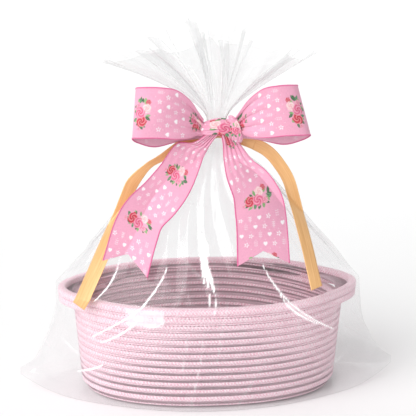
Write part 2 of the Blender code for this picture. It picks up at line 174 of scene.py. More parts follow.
def skin(name, grid, finish, wrap=False, across=None, colours=None, marks=None):
    """A mesh of quads over rows of points. wrap joins a row's ends.

    Its UVs are metres along, then the share across.
    """
    rows, count = grid.shape[:2]
    step = np.arange(count if wrap else count - 1)
    row = np.arange(rows - 1)[:, None] * count
    a, b = (row + step).ravel(), (row + (step + 1) % count).ravel()
    faces = np.stack([a, b, b + count, a + count], axis=1)
    mesh = bpy.data.meshes.new(name)
    mesh.vertices.add(rows * count)
    mesh.vertices.foreach_set("co", grid.reshape(-1).astype(np.float32))
    mesh.loops.add(faces.size)
    mesh.loops.foreach_set("vertex_index", faces.ravel().astype(np.int32))
    mesh.polygons.add(len(faces))
    mesh.polygons.foreach_set("loop_start", (np.arange(len(faces)) * 4).astype(np.int32))
    mesh.update(calc_edges=True)
    middle = grid.mean(axis=1)
    length = np.concatenate([[0.0], np.cumsum(np.linalg.norm(np.diff(middle, axis=0), axis=1))])
    over = np.linspace(0.0, 1.0, count + (1 if wrap else 0)) if across is None else across
    low, high = length[:-1, None] + 0 * step, length[1:, None] + 0 * step
    left, right = over[step] + 0 * low, over[step + 1] + 0 * low
    corners = np.stack([low, left, low, right, high, right, high, left], axis=-1)
    mesh.uv_layers.new(name="UVMap").data.foreach_set("uv", corners.reshape(-1).astype(np.float32))
    if colours is not None:
        rgba = np.concatenate([colours.reshape(-1, 3), np.ones((rows * count, 1))], axis=1)
        mesh.attributes.new("print", "FLOAT_COLOR", "POINT").data.foreach_set("color", rgba.reshape(-1))
    for mark, amounts in (marks or {}).items():
        mesh.attributes.new(mark, "FLOAT", "POINT").data.foreach_set("value", amounts.reshape(-1))
    mesh.shade_smooth()
    mesh.materials.append(finish)
    made = bpy.data.objects.new(name, mesh)
    bpy.context.scene.collection.objects.link(made)
    return made


def unit(vectors):
    """The same directions, one unit long."""
    return vectors / np.maximum(np.linalg.norm(vectors, axis=-1, keepdims=True), 1e-12)


def tube_grid(route, out, up, sides, ends=False, squeeze=SEWN_FLAT):
    """Rings round a route, reaching out to its side and up above it.

    ends draws both ends to a point, and squeeze below 1 flattens the sides, as rows sewn hard together are.
    """
    run = unit(np.gradient(route, axis=0))
    side = np.cross(run, (0.0, 0.0, 1.0))
    flat = np.linalg.norm(side, axis=1, keepdims=True) < 0.05
    side = unit(np.where(flat, np.cross(run, (0.0, 1.0, 0.0)), side))
    above = np.cross(side, run)
    turn = np.linspace(0, 2 * math.pi, sides, endpoint=False)[None, :, None]
    wide = np.sign(np.cos(turn)) * np.abs(np.cos(turn)) ** squeeze
    tall = np.sign(np.sin(turn)) * np.abs(np.sin(turn)) ** squeeze
    grid = route[:, None] + side[:, None] * out * wide + above[:, None] * up * tall
    if ends:
        first = np.repeat(route[:1, None], sides, axis=1)
        last = np.repeat(route[-1:, None], sides, axis=1)
        grid = np.concatenate([first, grid, last])
    return grid


def lean(z):
    """How far in the wall stands at a height, below the wider rim."""
    return TAPER * (1 - (z - FLOOR_TOP) / (ROW * ROWS))


def rope_place(row, turn, out=0.0):
    """Where the rope's middle lies, by its row and its turn round the oval, moved out from there."""
    down = (ROWS - 1 - row) * ROW
    straight = RIM - ROPE / 2 - FLOOR_TOP - FOOT_RADIUS
    bend = FOOT_RADIUS - ROPE / 2
    angle = np.clip((down - straight) / bend, 0, math.pi / 2)
    beyond = np.maximum(down - straight - bend * math.pi / 2, 0)
    inset = FOOT_RADIUS - (bend + out) * np.cos(angle) + beyond
    on_foot = FLOOR_TOP + FOOT_RADIUS - (bend + out) * np.sin(angle)
    z = np.where(down < straight, RIM - ROPE / 2 - down, on_foot)
    inset = inset + lean(z)
    cosine, sine = np.cos(turn), np.sin(turn)
    x = np.sign(cosine) * np.abs(cosine) ** (2 / OVAL_POWER) * (TOP_LENGTH / 2 - inset)
    y = np.sign(sine) * np.abs(sine) ** (2 / OVAL_POWER) * (TOP_DEPTH / 2 - inset)
    bow = HANDLE_REACH * np.cos(np.clip(math.pi * y / HANDLE_SPAN, -math.pi / 2, math.pi / 2)) ** 1.5
    loose = np.clip((row - (ROWS - HANDLE_ROWS)) * 1e3, 0, 1) * (np.abs(x) > TOP_LENGTH / 4)
    return np.stack([x + np.sign(x) * bow * loose, y, z], axis=-1)


def rope_rows(first, last, step, out=0.0, above=0.0):
    """Even points along the coil from one row to another. It climbs to the next row at the back."""
    fine = np.linspace(first, last, int((last - first) * 1600))
    row = np.floor(fine)
    share = np.clip((fine - row - CLIMB_FROM) / (1 - CLIMB_FROM), 0, 1)
    level = np.minimum(row + share * share * (3 - 2 * share), ROWS - 1)
    route = rope_place(level + above, math.pi / 2 + 2 * math.pi * fine, out)
    length = np.concatenate([[0.0], np.cumsum(np.linalg.norm(np.diff(route, axis=0), axis=1))])
    even = np.arange(0, length[-1], step)
    points = np.stack([np.interp(even, length, route[:, axis]) for axis in range(3)], axis=-1)
    return points, np.interp(even, length, level)


rope_finish, start = new_finish("braided_rope")
laid = start.make("ShaderNodeUVMap", {"uv_map": "UVMap"})
laid = start.make("ShaderNodeSeparateXYZ", {}, {0: laid})
along, around = laid, laid.part(1)
BRAID = 0.0034
STRANDS = 7.0
one = along / BRAID + around * STRANDS
two = along / BRAID - around * STRANDS
over_one = 1 - ((one % 1.0) * 2 - 1).size()
over_two = 1 - ((two % 1.0) * 2 - 1).size()
which = (one.sum("FLOOR", one) + two.sum("FLOOR", two)) % 2.0
plait = over_two * which + over_one * (1 - which)
place = start.make("ShaderNodeTexCoord", out="Object")
yarn = start.noise(place, 620.0, Detail=3.0, Roughness=0.7)
patch = start.noise(place, 38.0, Detail=2.0)
# Over the yarn's heather, the strands are made lighter on their crests and darker in their dips: painted
# shade.
heather_and_dip_shade = (yarn - 0.5) * 2.8 + (plait - 0.45) * 0.9 + (patch - 0.5) * 0.4 + 0.55
cotton = start.principled(
    {
        "Base Color": heather_and_dip_shade.limited().mixed(tint("f2b4c8"), tint("ffeaf1")),
        "Roughness": 0.92,
        "Sheen Weight": 0.25,
        "Specular IOR Level": 0.2,
        "Normal": start.bump(0.7, 0.0009, plait * 0.7 + yarn * 0.6),
    }
)
finish_with(start, cotton)

# The mat under the basket: the rope wound flat from a straight middle, ten rows out to the foot.
mat_route, _ = rope_rows(-MAT_ROWS, 1.0, ROPE_STEP)
rings = tube_grid(mat_route, ROPE_OUT, ROPE_UP, ROPE_SIDES, ends=True)
mat = skin("rope_mat", rings, rope_finish, wrap=True)
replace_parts(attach(mat, "wrapped_basket"), "basket_base")

# The wall: the same rope goes on round the foot and up, fourteen rows. At each end the top two rows leave
# the wall and bow out as a grab handle, stitched only to each other.
wall_route, wall_level = rope_rows(1.0, ROWS - 0.02, ROPE_STEP)
at_ends = (np.abs(wall_route[:, 1]) < HANDLE_SPAN / 2) & (np.abs(wall_route[:, 0]) > TOP_LENGTH / 4)
loose = (wall_level > ROWS - HANDLE_ROWS) & at_ends


def rope_lengths(name, keep, node):
    """One piece from the stretches of the wall's rope that keep marks, each run on to meet the next."""
    edges = np.flatnonzero(np.diff(np.concatenate([[0], keep.astype(int), [0]])))
    lengths = []
    for first, last in edges.reshape(-1, 2):
        route = wall_route[first:min(last + 1, len(wall_route))]
        at_end = first == 0 or last >= len(wall_route) - 1
        rings = tube_grid(route, ROPE_OUT, ROPE_UP, ROPE_SIDES, ends=at_end)
        lengths.append(skin(name, rings, rope_finish, wrap=True))
    with bpy.context.temp_override(active_object=lengths[0], selected_editable_objects=lengths):
        bpy.ops.object.join()
    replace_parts(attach(lengths[0], "wrapped_basket"), node)
    return lengths[0]


rope_lengths("rope_wall", ~loose, "basket_wall")
rope_lengths("rope_handle_left", loose & (wall_route[:, 0] < 0), "handle_left")
rope_lengths("rope_handle_right", loose & (wall_route[:, 0] > 0), "handle_right")

# The sewing: a pink thread run in a zigzag over each groove, outside and inside, holds row to row.
STITCH = 0.0021  # from one corner of the zigzag to the next
THREAD = 0.00058
STITCH_LOW = 0.22  # where the zigzag's corners lie between two rows' middles
STITCH_HIGH = 0.78
LAST_GROOVE = ROWS - 1.03
thread_finish, start = new_finish("sewing_thread")
place = start.make("ShaderNodeTexCoord", out="Object")
fibre = start.noise(place, 900.0, Detail=2.0)
thread = start.principled(
    {
        "Base Color": fibre.mixed(tint("eeb2c6"), tint("fdeaf1")),
        "Roughness": 0.6,
        "Normal": start.bump(0.4, 0.0003, fibre),
    }
)
finish_with(start, thread)
threads = []
for face in (1, -1):
    reach = face * (ROPE_OUT * 0.80 + THREAD)
    low_line, level = rope_rows(0.0, LAST_GROOVE, STITCH, reach, above=STITCH_LOW)
    high_line, _ = rope_rows(0.0, LAST_GROOVE, STITCH, reach, above=STITCH_HIGH)
    count = min(len(low_line), len(high_line))
    zigzag = np.where((np.arange(count) % 2 == 0)[:, None], low_line[:count], high_line[:count])
    free = (level[:count] > ROWS - 3.2) & (level[:count] < ROWS - 2.1)
    free &= (np.abs(zigzag[:, 1]) < HANDLE_SPAN / 2 + 0.002) & (np.abs(zigzag[:, 0]) > TOP_LENGTH / 4)
    edges = np.flatnonzero(np.diff(np.concatenate([[0], (~free).astype(int), [0]]))).reshape(-1, 2)
    for first, last in edges[edges[:, 1] - edges[:, 0] > 3]:
        rings = tube_grid(zigzag[first:last], THREAD, THREAD, 4)
        threads.append(skin("zigzag_stitches", rings, thread_finish, wrap=True))
with bpy.context.temp_override(active_object=threads[0], selected_editable_objects=threads):
    bpy.ops.object.join()
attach(threads[0], "wrapped_basket")

# The bag: one tube of clear polypropylene film, creased from the roll, that stands on the floor round the
# basket. It is drawn in from the rim to the neck, tied there, and its free end opens in a frilled ruffle.
FILM = 0.0006
FILM_SLACK = 0.003
FOOT_SLACK = 0.0045
CORNER_REACH = 0.039
CORNER_LIFT = 0.013
NECK_RADIUS = 0.011
NECK_SHIFT = 0.009
RUFFLE_SIDE = 0.090
RUFFLE_FRONT = 0.036
TENT_LOW = RIM + 0.003
NECK_LOW = RIM + 0.148
TIE = NECK_LOW + 0.0165
COLLAR = NECK_LOW + 0.030
FILM_AROUND = 640
FLOOR_RINGS = 14
SIDE_RINGS = 84
NECK_RINGS = 25
RUFFLE_RINGS = 73
GIRTH_RING = 40  # a ring half way up the side, along which distances round the bag are measured
PLEATS = (13, 29)  # wide and narrow folds round the tent
PLEAT_PHASE = 1.3
PLEAT_DEPTH = 0.0225
NECK_PLEAT = 0.0016
CRUSHES = 190
draw = np.random.default_rng(7)


def smooth(value):
    """A share between 0 and 1, eased at both ends."""
    value = np.clip(value, 0, 1)
    return value * value * (3 - 2 * value)


def bag_section(z):
    """Half length, half depth, pointedness and sideways shift of the bag at a height."""
    rim_x = TOP_LENGTH / 2 + HANDLE_REACH + FILM_SLACK
    rim_y = TOP_DEPTH / 2 + FILM_SLACK
    climb = np.maximum(z - CORNER_LIFT, 0) / (TENT_LOW - CORNER_LIFT)
    low_x = rim_x + CORNER_REACH * np.clip(1 - climb, 0, 1) ** 2.4
    low_y = rim_y - lean(np.minimum(z, RIM)) + FOOT_SLACK * (1 - z / TENT_LOW)
    climb = np.clip((z - TENT_LOW) / (NECK_LOW - TENT_LOW), 0, 1)
    spread = 1 - 0.8 * climb - 0.2 * climb**8
    high = z > TENT_LOW
    half_x = np.where(high, NECK_RADIUS + (rim_x - NECK_RADIUS) * spread, low_x)
    half_y = np.where(high, NECK_RADIUS + (rim_y - NECK_RADIUS) * spread, low_y)
    point = np.where(high, 0.5, 1.0 - 0.5 * smooth(z / (0.7 * TENT_LOW)))
    return half_x, half_y, point, NECK_SHIFT * climb**4


def film_front(x, z):
    """The y of the bag's front at a place, or 0 beside the bag."""
    half_x, half_y, point, shift = bag_section(z)
    out = np.minimum(np.abs(x - shift) / half_x, 1)
    return -half_y * (1 - out**2) ** point


angle = np.linspace(0, 2 * math.pi, FILM_AROUND, endpoint=False)[None, :]
wander = angle + 0.16 * np.sin(3 * angle + 1.0) + 0.10 * np.sin(5 * angle + 2.0)
cosine, sine = np.cos(angle), np.sin(angle)


def fold(turns):
    """Sharp folds, from 0 in a valley to 1 on a ridge."""
    return 1 - np.abs(2 * (turns - np.floor(turns)) - 1)


def pleats(count, phase=0.0):
    """That many folds round the bag, not quite evenly spaced."""
    return fold(wander * count / (2 * math.pi) + phase)


def level_ring(z, inset):
    """The bag's outline at a height, as x, y and z, with the bottom corners lifted a little."""
    half_x, half_y, point, shift = bag_section(z)
    half_x, half_y = half_x - inset, half_y - inset
    x = cosine * half_x + shift
    y = np.sign(sine) * np.abs(sine) ** (2 * point) * half_y
    lift = CORNER_LIFT * np.maximum(1 - z / (2.3 * CORNER_LIFT), 0)
    return x, y, z + lift * (np.maximum(np.abs(cosine) - 0.7, 0) / 0.3) ** 2


rows = []
for share in np.linspace(0.02, 0.985, FLOOR_RINGS):
    x, y, z = level_ring(np.array(0.0), FILM / 2)
    rows.append((x * share, y * share, FILM / 2 + z * (np.maximum(share - 0.6, 0) / 0.4) ** 2))
for z in np.linspace(FILM / 2, TENT_LOW, SIDE_RINGS):
    rows.append(level_ring(z, FILM / 2))
tent_shares = np.concatenate([np.linspace(0, 0.82, 66)[1:], np.linspace(0.82, 1.0, 34)[1:]])
for share in tent_shares:
    x, y, z = level_ring(TENT_LOW + share * (NECK_LOW - TENT_LOW), FILM / 2)
    rows.append((x, y, z + 0 * x))
grid = np.stack([np.stack([part + 0 * angle for part in row], axis=-1)[0] for row in rows])

# Its folds run up the tent into the neck, deeper as they come together.
climb = np.clip((grid[..., 2] - TENT_LOW) / (NECK_LOW - TENT_LOW), 0, 1)
outward = grid[..., :2] / np.maximum(np.abs(grid[..., :2]).max(axis=1, keepdims=True), 1e-6) ** 2
outward = unit(np.concatenate([outward, 0 * climb[..., None]], axis=-1))
folds = 0.45 * pleats(PLEATS[0]) + 0.55 * pleats(PLEATS[1], PLEAT_PHASE * climb)
depth = PLEAT_DEPTH * climb**0.9 * (1 - climb) ** 0.6 + NECK_PLEAT * climb**6
grid += outward * (depth * (folds - 0.92))[..., None]

# The creases it took when it was packed and handled: short sharp ridges, all over.
girth = np.linalg.norm(np.diff(grid[GIRTH_RING], axis=0, append=grid[GIRTH_RING][:1]), axis=1)
girth = (np.cumsum(girth) - girth)[None, :]
rise = np.linalg.norm(np.diff(grid[:, 0], axis=0, prepend=grid[:1, 0]), axis=1)
rise = np.cumsum(rise)[:, None]
crush = np.zeros(grid.shape[:2])
painted_glint = np.zeros(grid.shape[:2])
whole = girth[0, -1]
floor_end = rise[FLOOR_RINGS - 1, 0]
for _ in range(CRUSHES):
    middle, height = draw.uniform(0, whole), draw.uniform(floor_end, rise[-1, 0])
    lean_over = draw.normal(math.pi / 2, 0.6)
    long, wide = draw.uniform(0.015, 0.06), draw.uniform(0.003, 0.010)
    amount = draw.uniform(0.0003, 0.0014)
    off = (girth - middle + whole / 2) % whole - whole / 2
    past = off * math.sin(lean_over) - (rise - height) * math.cos(lean_over)
    on = off * math.cos(lean_over) + (rise - height) * math.sin(lean_over)
    length = np.maximum(1 - (on / long) ** 2, 0)
    crush += amount * length * np.maximum(1 - np.abs(past) / wide, 0)
    # a thin line of painted highlight along the crease's ridge, most of them faint
    painted_glint += 0.30 * draw.uniform(0, 1) ** 3 * length * np.exp(-((past / 0.0006) ** 2))
broad = 0.0012 * np.sin(girth * 2 * math.pi * 9 / whole + 40 * rise) * np.sin(rise * 55 + 1.0)
standing = smooth((rise - floor_end) / 0.012)
in_front = smooth((-grid[..., 1] - 0.01) / 0.03) * smooth((grid[..., 2] - 0.10) / 0.02)
out = (crush + broad - 0.0004) * standing * (1 - climb**3)
out = np.where(out > 0, out * (1 - 0.8 * in_front), out)
grid += outward * out[..., None]

# Where the front is pulled tight, its creases get painted highlights. Folds fan down from one pinch in the
# middle, long ones drop from the shoulders towards the bottom corners, and short ones lean the same way on
# the wall.
TENT = NECK_LOW - TENT_LOW
HALF = TOP_LENGTH / 2
CORNER = HALF + HANDLE_REACH + FILM_SLACK + CORNER_REACH
PINCH = (-HALF / 10, TENT_LOW + TENT * 0.4)
PINCH_SIZE = 0.0038
FAN_LENGTH = TENT / 3
SHOULDER = (HALF / 3, TENT_LOW + TENT / 4)
front = grid[..., 1] < 0
flat_x, flat_z = grid[..., 0], grid[..., 2]


def painted_fold_highlight(places, wide, strength):
    """How much painted highlight the film gets along a fold through these places, given as x and z. It
    tapers.
    """
    nearest = np.full(grid.shape[:2], 1.0)
    along = np.zeros(grid.shape[:2])
    for number, ((x0, z0), (x1, z1)) in enumerate(zip(places, places[1:])):
        run_x, run_z = x1 - x0, z1 - z0
        share = np.clip(((flat_x - x0) * run_x + (flat_z - z0) * run_z) / (run_x**2 + run_z**2), 0, 1)
        away = np.hypot(flat_x - x0 - share * run_x, flat_z - z0 - share * run_z)
        along = np.where(away < nearest, (number + share) / (len(places) - 1), along)
        nearest = np.minimum(nearest, away)
    taper = np.sin(math.pi * np.clip(0.04 + 0.92 * along, 0, 1)) ** 0.7
    ragged = 0.75 + 0.35 * np.sin(flat_z * 610 + flat_x * 240) * np.sin(flat_z * 230 + 1.0)
    return strength * front * smooth(1.3 - nearest / (wide * taper * ragged + 0.0002))


def from_place(x, z, turn, length):
    """A straight fold that starts at a place and runs a length in a direction, in degrees from +X."""
    turn = math.radians(turn)
    return [(x, z), (x + length * math.cos(turn), z + length * math.sin(turn))]


def to_corner(x, z, share):
    """A fold that bends from a place part of the way to the bag's bottom corner on the same side."""
    run_x = math.copysign(CORNER, x) - x
    return [(x + share * t * run_x * (0.4 + 0.6 * t), z * (1 - share * t)) for t in np.linspace(0, 1, 7)]


painted_glint += painted_fold_highlight(from_place(PINCH[0], PINCH[1] + 2 * PINCH_SIZE, -67, 5 * PINCH_SIZE), PINCH_SIZE, 1.0)
for number in range(3):
    long = FAN_LENGTH * (1 - number / 8)
    run = from_place(*PINCH, -75 - 6 * number, long)
    painted_glint += painted_fold_highlight(run, 0.0024 - 0.0006 * number, 1.0)
    if number < 2:
        below = from_place(run[1][0], run[1][1] - PINCH_SIZE, -93, long / 3)
        painted_glint += painted_fold_highlight(below, 0.0010, 0.9)
for side, count in ((-1, 2), (1, 1)):
    for number in range(count):
        fold_line = to_corner(side * SHOULDER[0] * (1 + number), SHOULDER[1], 0.5 / (1 + number))
        painted_glint += painted_fold_highlight(fold_line, 0.0009 - 0.0003 * number, 0.85)
for side, height in ((-1, 0.9), (1, 1.1), (-1, 0.4)):
    painted_glint += painted_fold_highlight(to_corner(side * HALF * (1 - height / 2), RIM * height, 0.3), 0.0011, 0.8)
# Below the rim on the left the film lies flat on the rope, and gets one pale patch of painted highlight.
HIGHLIGHT_PATCH = (HALF / 7, RIM / 11)  # half its length and half its height
patch = smooth((HIGHLIGHT_PATCH[0] - np.abs(flat_x + HALF / 2)) / 0.004)
patch = patch * smooth((HIGHLIGHT_PATCH[1] - np.abs(flat_z - RIM + HIGHLIGHT_PATCH[1])) / 0.003)
painted_glint += 0.40 * front * patch * (0.75 + 0.25 * np.sin(flat_x * 260 + 3) * np.sin(flat_z * 330))

# The neck is pulled in hard by the ribbon, and the ruffle above it opens in pleats that end in a frill.
neck_rows = []
for share in np.linspace(0, 1, NECK_RINGS + 1)[1:]:
    radius = NECK_RADIUS - FILM / 2 - 0.0010 * math.sin(math.pi * share)
    pleat = 0.0009 * (pleats(PLEATS[1], PLEAT_PHASE) - 0.8)
    x, y = (radius + pleat) * cosine + NECK_SHIFT, (radius + pleat) * sine
    neck_rows.append(np.stack([x, y, COLLAR * share + NECK_LOW * (1 - share) + 0 * x], axis=-1)[0])
for share in np.linspace(0, 1, RUFFLE_RINGS + 1)[1:]:
    sideways = np.abs(cosine) ** 3
    side_reach = NECK_RADIUS + (RUFFLE_SIDE + 0.004 * (cosine < 0)) * share**1.1
    front_reach = NECK_RADIUS + RUFFLE_FRONT * share**1.2
    frill = 1.5 * share**1.1 * (
        0.0150 * np.sin(wander * 8 + 0.7)
        + 0.0042 * np.sin(wander * 13)
        + 0.0044 * np.sin(wander * 27 + 2.5 * share)
        + 0.0014 * np.sin(wander * 47 + 6 * share)
        + 0.0006 * share * np.sin(wander * 83 + 2.0)
    )
    near = 0.0011 * (1 - share) ** 2 * (pleats(PLEATS[1], PLEAT_PHASE) - 0.5)
    reach = sideways * side_reach + (1 - sideways) * front_reach + (1.55 - 1.1 * sideways) * frill + near
    high = sideways * 0.062 * share**0.75 + (1 - sideways) * (0.090 + 0.004 * sine) * share
    ragged = 0.0035 * np.sin(wander * 7 + 0.6) + 0.0028 * np.sin(wander * 16) + 0.0016 * np.sin(wander * 37)
    ragged = share**3 * ragged
    x = NECK_SHIFT - 0.010 * share**2 + reach * cosine
    neck_rows.append(np.stack([x, reach * sine, COLLAR + high + ragged], axis=-1)[0])
grid = np.concatenate([grid, np.stack(neck_rows)])
painted_glint = np.concatenate([painted_glint, np.zeros((len(neck_rows), FILM_AROUND))])
ruffle = np.zeros(grid.shape[:2])
ruffle[-RUFFLE_RINGS:] = np.linspace(0, 1, RUFFLE_RINGS)[:, None]
# Faint white streaks are painted across the ruffle at random places round it, as highlights.
for _ in range(26):
    middle, wide = draw.uniform(0, 2 * math.pi), draw.uniform(0.006, 0.016)
    near = (angle - middle + math.pi) % (2 * math.pi) - math.pi
    shown = draw.uniform(0.1, 0.35) * smooth(ruffle * 5) * smooth((1 - ruffle) * 2)
    painted_glint += shown * np.exp(-((near / wide) ** 2))
gather = np.zeros(grid.shape[:2])
gather[-NECK_RINGS - RUFFLE_RINGS:] = 1.0
gather[: len(climb)] = smooth((climb - 0.55) / 0.45)

film_finish, start = new_finish("clear_film")
facing = start.make("ShaderNodeLayerWeight", {}, {"Blend": 0.5}, out=1)
highlight_share = start.make("ShaderNodeAttribute", {"attribute_name": "painted_glint"}, out=2)
bunched = start.make("ShaderNodeAttribute", {"attribute_name": "gather"}, out=2)
place = start.make("ShaderNodeTexCoord", out="Object")
crinkle = start.noise(place, 55.0, Detail=4.0, Distortion=0.6)
bump = start.bump(0.35, 0.0015, crinkle)
WHITE = (1.0, 1.0, 1.0, 1.0)
clear = start.make("ShaderNodeBsdfTransparent", {}, {"Color": (0.975, 0.977, 0.978, 1.0)})
gloss = start.make("ShaderNodeBsdfGlossy", {}, {"Color": WHITE, "Roughness": 0.10, "Normal": bump})
pane = start.make("ShaderNodeMixShader", {}, {0: facing**4 * 0.20 + 0.035, 1: clear, 2: gloss})
veil = start.principled({"Base Color": (0.80, 0.80, 0.80, 1.0), "Roughness": 0.35, "Normal": bump})
veil_share = facing**3 * 0.10 + bunched * (crinkle * 0.17 + 0.02) + 0.060
pane = start.make("ShaderNodeMixShader", {}, {0: veil_share, 1: pane, 2: veil})
# Painted highlight: where the glint mark is high the film turns to a white that glows a little, lit by no
# lamp.
painted_white_glow = start.principled(
    {"Base Color": WHITE, "Roughness": 0.2, "Emission Color": WHITE, "Emission Strength": 0.35}
)
pane = start.make("ShaderNodeMixShader", {}, {0: highlight_share.sum("MINIMUM", highlight_share, 1.0), 1: pane, 2: painted_white_glow})
finish_with(start, pane)
bag = skin("film_bag", grid, film_finish, wrap=True, marks={"painted_glint": painted_glint, "gather": gather})
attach(bag, "wrapped_basket")
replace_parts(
    bag,
    "film_floor",
    "film_front",
    "film_back",
    "film_tent_front",
    "film_tent_back",
    "film_neck",
    "film_ruffle",
)

# The satin ribbon: woven gold polyester satin, half an inch wide. It is wound twice round the neck and
# knotted in front, and its two ends run out behind the bow and hang down over the bag.
GOLD_WIDTH = 0.0127
GOLD_LIFT = 0.0022
GOLD_THICK = 0.00035
GOLD_CELL = 0.0011
GOLD_ACROSS = 14
WIRE_REACH = 0.0011  # how far in from its edge a ribbon is thickened by its wire
SLANT_OVER = 0.011  # the length each way over which a tail's slant is taken
WRAP_TURNS = 2
WRAP_OUT = NECK_RADIUS + 0.0011


def through(places, count):
    """Points on a smooth curve that passes through every place."""
    places = np.array(places, dtype=float)
    padded = np.concatenate([2 * places[:1] - places[1:2], places, 2 * places[-1:] - places[-2:-1]])
    at = np.linspace(0, len(places) - 1, count)
    index = np.minimum(at.astype(int), len(places) - 2)
    part = (at - index)[:, None]
    a, b, c, d = (padded[index + step] for step in range(4))
    bend = 2 * a - 5 * b + 4 * c - d
    twist = 3 * b - a - 3 * c + d
    return 0.5 * (2 * b + (c - a) * part + bend * part**2 + twist * part**3)


def ribbon(name, middle, thick, finish, bead=0.0, inside=None, colours=None):
    """A closed ribbon round a grid of its middle points. bead rounds its edges over their wire."""
    along, over = np.gradient(middle, axis=0), np.gradient(middle, axis=1)
    face = unit(np.cross(along, over))
    count = middle.shape[1]
    width = np.linalg.norm(np.diff(middle, axis=1), axis=2).sum(axis=1).max()
    from_edge = (1 - np.abs(np.linspace(-1, 1, count))) * width / 2
    half = thick / 2 + bead * np.clip(1 - (from_edge / WIRE_REACH - 0.6) ** 2, 0, 1)
    ring = np.concatenate([middle + face * half[:, None], (middle - face * half[:, None])[:, ::-1]], axis=1)
    across = np.concatenate([np.linspace(0, 1, count), np.linspace(1, 0, count), [0.0]])
    if colours is not None:
        colours = np.concatenate([colours, inside[:, ::-1]], axis=1)
    made = skin(name, ring, finish, wrap=True, across=across, colours=colours)
    total = len(ring)
    shape = bmesh.new()
    shape.from_mesh(made.data)
    shape.verts.ensure_lookup_table()
    for row, turned in ((0, True), (total - 1, False)):
        first = row * 2 * count
        for step in range(count - 1):
            front_corner, back_corner = first + step, first + 2 * count - 1 - step
            corners = [front_corner, front_corner + 1, back_corner - 1, back_corner]
            shape.faces.new([shape.verts[corner] for corner in (corners[::-1] if turned else corners)])
    bmesh.ops.recalc_face_normals(shape, faces=shape.faces)
    shape.to_mesh(made.data)
    shape.free()
    made.data.shade_smooth()
    return made


def hang(route, width, lift, notch, cell, across, level):
    """A tail lying down the bag: its points, their places along and across it, and its share of width."""
    path = through(route, 600)
    run = np.concatenate([[0.0], np.cumsum(np.linalg.norm(np.diff(path[:, :3], axis=0), axis=1))])
    side = np.linspace(-1, 1, across)[None, :]
    steps = int(run[-1] / cell)
    length = (run[-1] - notch * (1 - np.abs(side))) * np.linspace(0, 1, steps)[:, None]

    def at(distance):
        distance = np.clip(distance, 0, run[-1])
        return np.stack([np.interp(distance, run, path[:, axis]) for axis in range(4)], axis=-1)

    here, ahead, behind = at(length), at(length + SLANT_OVER), at(length - SLANT_OVER)
    run_x, run_z = ahead[..., 0] - behind[..., 0], ahead[..., 2] - behind[..., 2]
    size = np.hypot(run_x, run_z)
    cross_x, cross_z = -run_z / size, run_x / size
    if level:
        turned = smooth(length / level)
        cross_x, cross_z = cross_x * turned + 1 - turned, cross_z * turned
        size = np.hypot(cross_x, cross_z)
        cross_x, cross_z = cross_x / size, cross_z / size
    x = here[..., 0] + cross_x * side * here[..., 3] * width / 2
    z = here[..., 2] + cross_z * side * here[..., 3] * width / 2
    near = np.minimum(film_front(x - 0.004, z), film_front(x + 0.004, z))
    y = np.minimum(here[..., 1], np.minimum(near, film_front(x, z)) - lift)
    return np.stack([x, y, z], axis=-1), length + 0 * side, side * width / 2 + 0 * length, here[..., 3]


gold_finish, start = new_finish("gold_satin")
laid = start.make("ShaderNodeSeparateXYZ", {}, {0: start.make("ShaderNodeUVMap", {"uv_map": "UVMap"})})
stretch = start.make("ShaderNodeCombineXYZ", {}, {0: laid * 60.0, 1: laid.part(1) * 26.0})
threads_seen = start.noise(stretch, 1.0, Detail=3.0)
ripple = start.noise(stretch, 0.35, Detail=1.0)
from_middle = (laid.part(1) - 0.5).size()
edge = from_middle.sum("GREATER_THAN", from_middle, 0.455)
weave = (threads_seen - 0.5) * 0.9 + (ripple - 0.5) * 1.1 + 0.5 + edge * 0.25
satin = start.principled(
    {
        "Base Color": weave.limited().mixed(tint("dca263"), tint("fbcb90")),
        "Metallic": 0.15,
        "Roughness": 0.34,
        "Specular IOR Level": 0.6,
        "Normal": start.bump(0.18, 0.0006, threads_seen + ripple * 2.0),
    }
)
finish_with(start, satin)

wound = 2 * math.pi * WRAP_TURNS
turn = np.linspace(0, wound, 260)[:, None]
over = np.linspace(-0.5, 0.5, GOLD_ACROSS)[None, :]
radius = WRAP_OUT - 0.0002 - 0.0004 * (1 - turn / wound) + 0.00012 * np.cos(over * 40)
wrap_z = TIE + over * (GOLD_WIDTH - 0.0012) + 0.0006 * np.sin(turn / 2)
band = np.stack([NECK_SHIFT + radius * np.cos(turn), radius * np.sin(turn), wrap_z + 0 * turn], axis=-1)
gold_wrap = skin("gold_wrap_ribbon", band, gold_finish)
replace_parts(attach(gold_wrap, "wrapped_basket"), "gold_wrap")

left_exit = (NECK_SHIFT - 0.040, -0.0152, TIE - 0.015, 1.0)
right_exit = (NECK_SHIFT + 0.038, -0.0152, TIE - 0.013, 1.0)
arms = [
    left_exit,
    (NECK_SHIFT - 0.018, -0.0148, TIE - 0.006, 1.0),
    (NECK_SHIFT, -0.0138, TIE, 1.0),
    (NECK_SHIFT + 0.018, -0.0148, TIE - 0.005, 1.0),
    right_exit,
]
path = through(arms, 170)[:, :3]
run = unit(np.gradient(path, axis=0))
cross = np.stack([-run[:, 2], 0 * run[:, 0], run[:, 0]], axis=-1)
band = path[:, None] + cross[:, None] * over[..., None] * GOLD_WIDTH
gold_knot = ribbon("gold_ribbon_arms", band, GOLD_THICK, gold_finish)
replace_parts(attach(gold_knot, "wrapped_basket"), "gold_knot")

